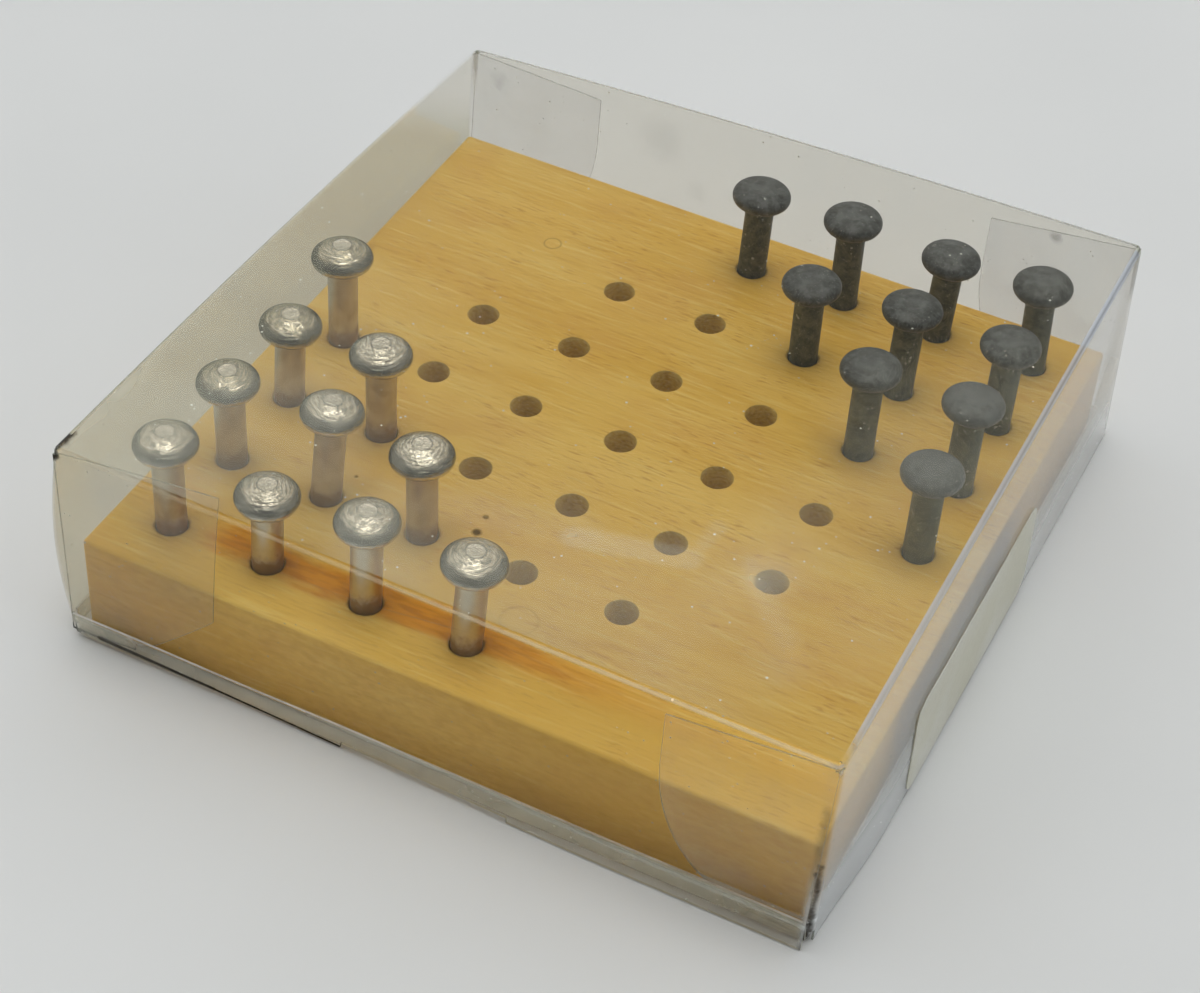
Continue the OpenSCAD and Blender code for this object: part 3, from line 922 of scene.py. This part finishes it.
# The folded film

# A panel's first material. Each is followed by those of its inside and its cut edge
PANEL_MATERIAL = {"floor": 0, "side": 3, "end": 3, "corner": 3, "flap": 6}
FILM_STEP = 1.7


def rounded_end(flap, u, side, end):
    """How far a flap's free edge stands back at its rounded end, u from its fold."""
    share = min(1.0, max(0.0, (u - flap["round_from"]) / (flap["length"] - flap["round_from"])))
    return flap["round_back"] * (1 - sqrt(1 - share ** 2))


def lid_outline(flap, u, side, end):
    """The same on the lid, whose front left flap has an outline of its own."""
    if side < 0 and end < 0:
        for (u0, back0), (u1, back1) in zip(LOOSE_OUTLINE, LOOSE_OUTLINE[1:]):
            if u <= u1:
                return back0 + (back1 - back0) * (u - u0) / (u1 - u0)
        return LOOSE_OUTLINE[-1][1]
    return rounded_end(flap, u, side, end)


def folded_film(half_x, half_y, height, flap, outline, notch, moved):
    """A box folded from one sheet, as a surface midway through the film, floor at z = 0.

    The function moved takes each point, the panel that it is on and the panel's two signs."""
    bm = bmesh.new()
    middle = FILM / 2
    r = BEND - middle
    side_y = half_y - FILM
    turns = [radians(a) for a in (0, 22.5, 45, 67.5, 90)]
    cuts = [c * (notch / 2 + d) for c in (-1, 1) for d in (-0.05, 0.05) if notch]
    xs = [x for x in steps(-half_x + BEND, half_x - BEND, FILM_STEP)
          if all(abs(x - c) > 0.3 for c in cuts)]
    xs = sorted(xs + cuts)
    ys_side = steps(-side_y + BEND, side_y - BEND, FILM_STEP)
    ys = [-half_y + BEND] + ys_side + [half_y - BEND]

    # How sharply the film is bent at a point, for the materials
    fold = bm.verts.layers.float.new("fold")

    def panel(rows, name, side=0, end=0):
        before = len(bm.faces)
        made = add_grid(bm, rows, lambda p: moved(p, name, side, end))
        if name in ("side", "end", "flap") and len(rows) >= len(turns):
            for row, t in zip(made, turns):
                for vert in row if name == "flap" or rows[0][0][2] < BEND else []:
                    vert[fold] = sin(2 * t)
        if name == "corner":
            for row in made:
                for vert, t in zip(row, turns[1:]):
                    vert[fold] = sin(2 * t)
        bm.faces.ensure_lookup_table()
        for face in bm.faces[before:]:
            face.material_index = PANEL_MATERIAL[name]

    panel([[(x, y, middle) for x in xs] for y in ys], "floor")
    flap_top = height - flap["back"]
    flap_zs = steps(BEND, flap_top, FILM_STEP)
    wall_zs = flap_zs + [height - flap["back"] * 0.5, height]
    for s in (-1, 1):
        rows = [[(s * (half_x - BEND + r * sin(t)), y, BEND - r * cos(t)) for y in ys_side]
                for t in turns]
        rows += [[(s * (half_x - middle), y, z) for y in ys_side] for z in wall_zs[1:]]
        panel(rows, "side", s)
        for e in (-1, 1):
            rows = [[(s * (half_x - BEND + r * cos(t)), e * (side_y - BEND + r * sin(t)), z)
                     for z in flap_zs] for t in turns]
            # Columns get closer together towards the flap's rounded end
            reach = flap["length"] - BEND
            count = round(reach / FILM_STEP * 1.6)
            for u in (BEND + reach * (1 - (1 - i / count) ** 1.7) for i in range(1, count + 1)):
                share = (u - BEND) / reach
                low = BEND + (flap["slope"] - BEND) * share
                high = flap_top - outline(flap, u, s, e)
                rows.append([(s * (half_x - u), e * (side_y - middle),
                              low + (high - low) * (z - BEND) / (flap_top - BEND)) for z in flap_zs])
            panel(rows, "flap", s, e)
            rows = []
            for a in turns:
                y = side_y + (half_y - side_y) * a / turns[-1] - BEND
                rows.append([(s * (half_x - BEND + r * sin(t) * cos(a)),
                              e * (y + r * sin(t) * sin(a)), BEND - r * cos(t))
                             for t in turns[1:]])
            panel(rows, "corner", s, e)
    front_xs = [-half_x + WALL_INSET] + xs + [half_x - WALL_INSET]
    rims = {x: height - (NOTCH_H if abs(x) < notch / 2 else 0) for x in front_xs}
    for e in (-1, 1):
        panel([[(x, e * (half_y - BEND + r * sin(t)), BEND - r * cos(t)) for x in xs]
               for t in turns], "end", 0, e)
        shares = steps(0, 1, FILM_STEP / height)
        panel([[(x, e * (half_y - middle), BEND + (rims[x] - BEND) * z) for x in front_xs]
               for z in shares], "end", 0, e)
    bmesh.ops.remove_doubles(bm, verts=bm.verts, dist=0.008)
    bmesh.ops.recalc_face_normals(bm, faces=bm.faces)
    return bm


def thicken(bm, name, materials, thickness):
    """Gives a sheet its thickness. The materials are its outside, inside and cut edge."""
    obj = finish_mesh(bm, name, materials)
    solid = obj.modifiers.new("sheet", "SOLIDIFY")
    solid.thickness = thickness * MM
    solid.offset = 0
    solid.material_offset = 1
    solid.material_offset_rim = 2
    return apply_modifiers(obj)


# How far the old lid has gone out of shape, in millimetres: its four top corners, its walls
# and their rims, the sag and the waves of its top, and the loose front left flap

TOP_CORNERS = {(-1, -1): Vector((-0.05, 0.0, 0.3)), (1, -1): Vector((0.35, 0.0, 0.0)),
               (-1, 1): Vector((0.9, 0.0, -2.2)), (1, 1): Vector((0.0, 0.9, 0.85))}
RIGHT_RIM_OUT = 1.25
RIGHT_BOW = 0.3
LEFT_RIM_UP = 0.8
LEFT_BOW = 1.75
BACK_RIM_OUT = 0.6
FRONT_RIM_OUT = 1.05
FRONT_RIM_UP = 1.05
FRONT_RIM_LEFT = 0.5
TOP_SAG = 0.25
TOP_WAVE = 0.35
LOOSE_LEAN = 5.6
LOOSE_SLIP = 1.2


def side_shift(side, v, low):
    """How far a side wall of the lid stands off its true place, low being 1 at its rim."""
    if side > 0:
        bow = RIGHT_BOW * sin(pi * low) * bow_of(v)
        return Vector((RIGHT_RIM_OUT * low * smooth(-1.0, -0.6, v) + bow, 0, 0))
    return Vector((-LEFT_BOW * sin(pi * (1 - low) ** 0.9) * smooth(1.0, -1.0, v), 0,
                   LEFT_RIM_UP * low * smooth(0.4, -1.0, v)))


def bow_of(share):
    """0 at both ends of a wall and 1 in its middle, from a place between -1 and 1."""
    return cos(pi * share / 2) if abs(share) < 1 else 0.0


def lid_shift(p, panel, side, end):
    """How far a point of the lid has moved from its true place."""
    u, v = p.x / LID_HIGH.x, p.y / LID_HIGH.y
    top = LID_HIGH.z - FILM / 2
    low = min(1.0, max(0.0, (top - p.z) / (top - LID_LOW.z)))
    h = 1 - low
    moved = Vector((0, 0, 0))
    for (a, b), corner in TOP_CORNERS.items():
        share = (0.5 + a * u / 2) * (0.5 + b * v / 2)
        if (a, b) == (-1, 1):
            share = max(0.0, share) ** 2.2
        moved += corner * share * h
    if panel == "floor":
        u_in, v_in = p.x / (LID_HIGH.x - BEND), p.y / (LID_HIGH.y - BEND)
        inside = max(0.0, 1 - abs(u_in) ** 4) * max(0.0, 1 - abs(v_in) ** 4)
        wave = noise.noise(Vector((p.x * 0.03, p.y * 0.03, 2.0)))
        moved.z += inside * (TOP_WAVE * wave - TOP_SAG)
    if panel == "side":
        moved += side_shift(side, v, low)
    if panel == "end" and end > 0:
        moved.y += BACK_RIM_OUT * low * bow_of(u)
    if panel == "end" and end < 0:
        # The front rim is lifted at its left end and pushed out towards its right end
        moved.y -= FRONT_RIM_OUT * low * smooth(-0.45, 0.55, u)
        moved.z += FRONT_RIM_UP * low * smooth(-0.15, -1.0, u)
        moved.x -= FRONT_RIM_LEFT * low * smooth(0.6, 1.0, u)
    if panel == "flap":
        out = (LID_HIGH.x - abs(p.x) - BEND) / (LID_FLAP["length"] - BEND)
        out = min(1.0, max(0.0, out))
        moved += side_shift(side, v, low) * (1 - out) ** 2
        if side < 0 and end < 0:
            # The front left flap has come loose and leans in at the top
            moved.y += LOOSE_LEAN * out * h ** 1.6
            moved.x -= LOOSE_SLIP * out * h
    return moved


def lid_place(point, panel, side, end):
    p = Vector((point[0], point[1], LID_HIGH.z - point[2]))
    return p + lid_shift(p, panel, side, end)


def make_lid():
    height = LID_HIGH.z - LID_LOW.z
    bm = folded_film(LID_HIGH.x, LID_HIGH.y, height, LID_FLAP, lid_outline, NOTCH_W, lid_place)
    lid = thicken(bm, "lid_of_film", LID_FILM, FILM_SHOWN)
    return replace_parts(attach(lid, "lid"), "lid")


def tray_place(point, panel, side, end):
    """The tray's front lip stands forward, against the lid, and its rims are slightly wavy."""
    p = Vector(point)
    lift = smooth(BEND, TRAY_HIGH.z, p.z)
    forward = smooth(-40.0, -51.0, p.y)
    p.y -= forward * (0.75 + 0.55 * lift)
    p.z += 0.15 * lift * noise.noise(Vector((p.x, p.y, 0)) * 0.05)
    return p


def make_tray():
    bm = folded_film(*TRAY_HIGH, TRAY_FLAP, rounded_end, 0.0, tray_place)
    tray = thicken(bm, "tray_of_film", TRAY_FILM, FILM_SHOWN)
    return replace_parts(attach(tray, "tray"), "base_tray")


# The label's rounded corners, its columns of faces and how far it stands off the wall
LABEL_CORNER = 2.5
LABEL_COLUMNS = 40
LABEL_OFF = 0.02


def make_label():
    """A paper label that follows the wall that it is stuck on."""
    bm = bmesh.new()
    thick = LABEL_HIGH.x - LABEL_LOW.x
    rows = []
    for z in steps(LABEL_LOW.z, LABEL_HIGH.z, 0.5):
        into = max(0.0, LABEL_CORNER - min(z - LABEL_LOW.z, LABEL_HIGH.z - z))
        cut = LABEL_CORNER - sqrt(max(0.0, LABEL_CORNER ** 2 - into ** 2))
        low, high = LABEL_LOW.y + cut, LABEL_HIGH.y - cut
        row = []
        for i in range(LABEL_COLUMNS + 1):
            p = Vector((LID_HIGH.x, low + (high - low) * i / LABEL_COLUMNS, z))
            p += lid_shift(p, "side", 1, 0)
            p.x += thick / 2 + LABEL_OFF
            row.append(p)
        rows.append(row)
    add_grid(bm, rows)
    bmesh.ops.recalc_face_normals(bm, faces=bm.faces)
    label = thicken(bm, "paper_label", [PAPER], thick)
    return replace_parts(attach(label, "lid"), "label")


# The studio

CAMERA_PLACE = (102.67, -238.29, 247.83)
CAMERA_TURN = (46.838, -3.012, 26.608)
CAMERA_LENS = 79.69
SENSOR_WIDTH = 36
NEAREST_SEEN = 0.01
FLOOR_REACH = 5000
FLOOR_STEP = 1000

# The tent's light: its even glow and its colour, then patches that add to it or take from it,
# each with its direction, where its soft edge starts and ends (as cosines) and its strength
TENT_GLOW = 0.64
TENT_COLOUR = (0.985, 0.995, 1.0, 1.0)
TENT = (((0.02, 0.02, 1.0), 0.935, 0.99, 3.90),
        ((0.38, -0.92, 0.55), 0.62, 0.80, -0.54),
        ((-0.31, 0.62, 0.72), 0.90, 0.98, 0.16),
        ((-0.95, 0.25, 0.45), 0.55, 1.0, 0.20))


def make_camera():
    camera = bpy.data.objects.new("camera", bpy.data.cameras.new("camera"))
    camera.data.lens = CAMERA_LENS
    camera.data.sensor_width = SENSOR_WIDTH
    camera.data.clip_start = NEAREST_SEEN
    camera.location = Vector(CAMERA_PLACE) * MM
    camera.rotation_euler = Euler([radians(a) for a in CAMERA_TURN])
    bpy.context.scene.collection.objects.link(camera)
    bpy.context.scene.camera = camera


def make_floor():
    bm = bmesh.new()
    line = steps(-FLOOR_REACH, FLOOR_REACH, FLOOR_STEP)
    add_grid(bm, [[(x, y, 0.0) for x in line] for y in line])
    bmesh.ops.recalc_face_normals(bm, faces=bm.faces)
    floor = finish_mesh(bm, "floor", [floor_material()])


def make_world():
    """A white light tent: brightest overhead and darker low in front of the box."""
    world = bpy.data.worlds.new("studio")
    bpy.context.scene.world = world
    world.cycles.sampling_method = "NONE"
    n = Nodes(world=world)
    way = n.add("TexCoord").outputs["Generated"]
    glow = TENT_GLOW
    for direction, start, full, power in TENT:
        toward = n.vector("DOT_PRODUCT", way, Vector(direction).normalized())
        glow = n.total(glow, n.between(toward, start, full, 0.0, power))
    light = n.add("Background", {"Color": TENT_COLOUR, "Strength": glow})
    n.add("OutputWorld", {"Surface": light.outputs[0]})


def make_studio():
    make_camera()
    make_floor()
    make_world()
    scene = bpy.context.scene
    scene.view_settings.view_transform = "Standard"
    scene.cycles.transparent_max_bounces = 32
    scene.cycles.max_bounces = 6
    scene.cycles.diffuse_bounces = 3
    scene.cycles.glossy_bounces = 3
    scene.cycles.use_denoising = True


make_studio()
make_board()
for number, (node, peg_axis, peg_mouth) in enumerate(PEGS):
    make_peg(node, peg_axis, peg_mouth, number + 1)
make_tray()
make_lid()
make_label()
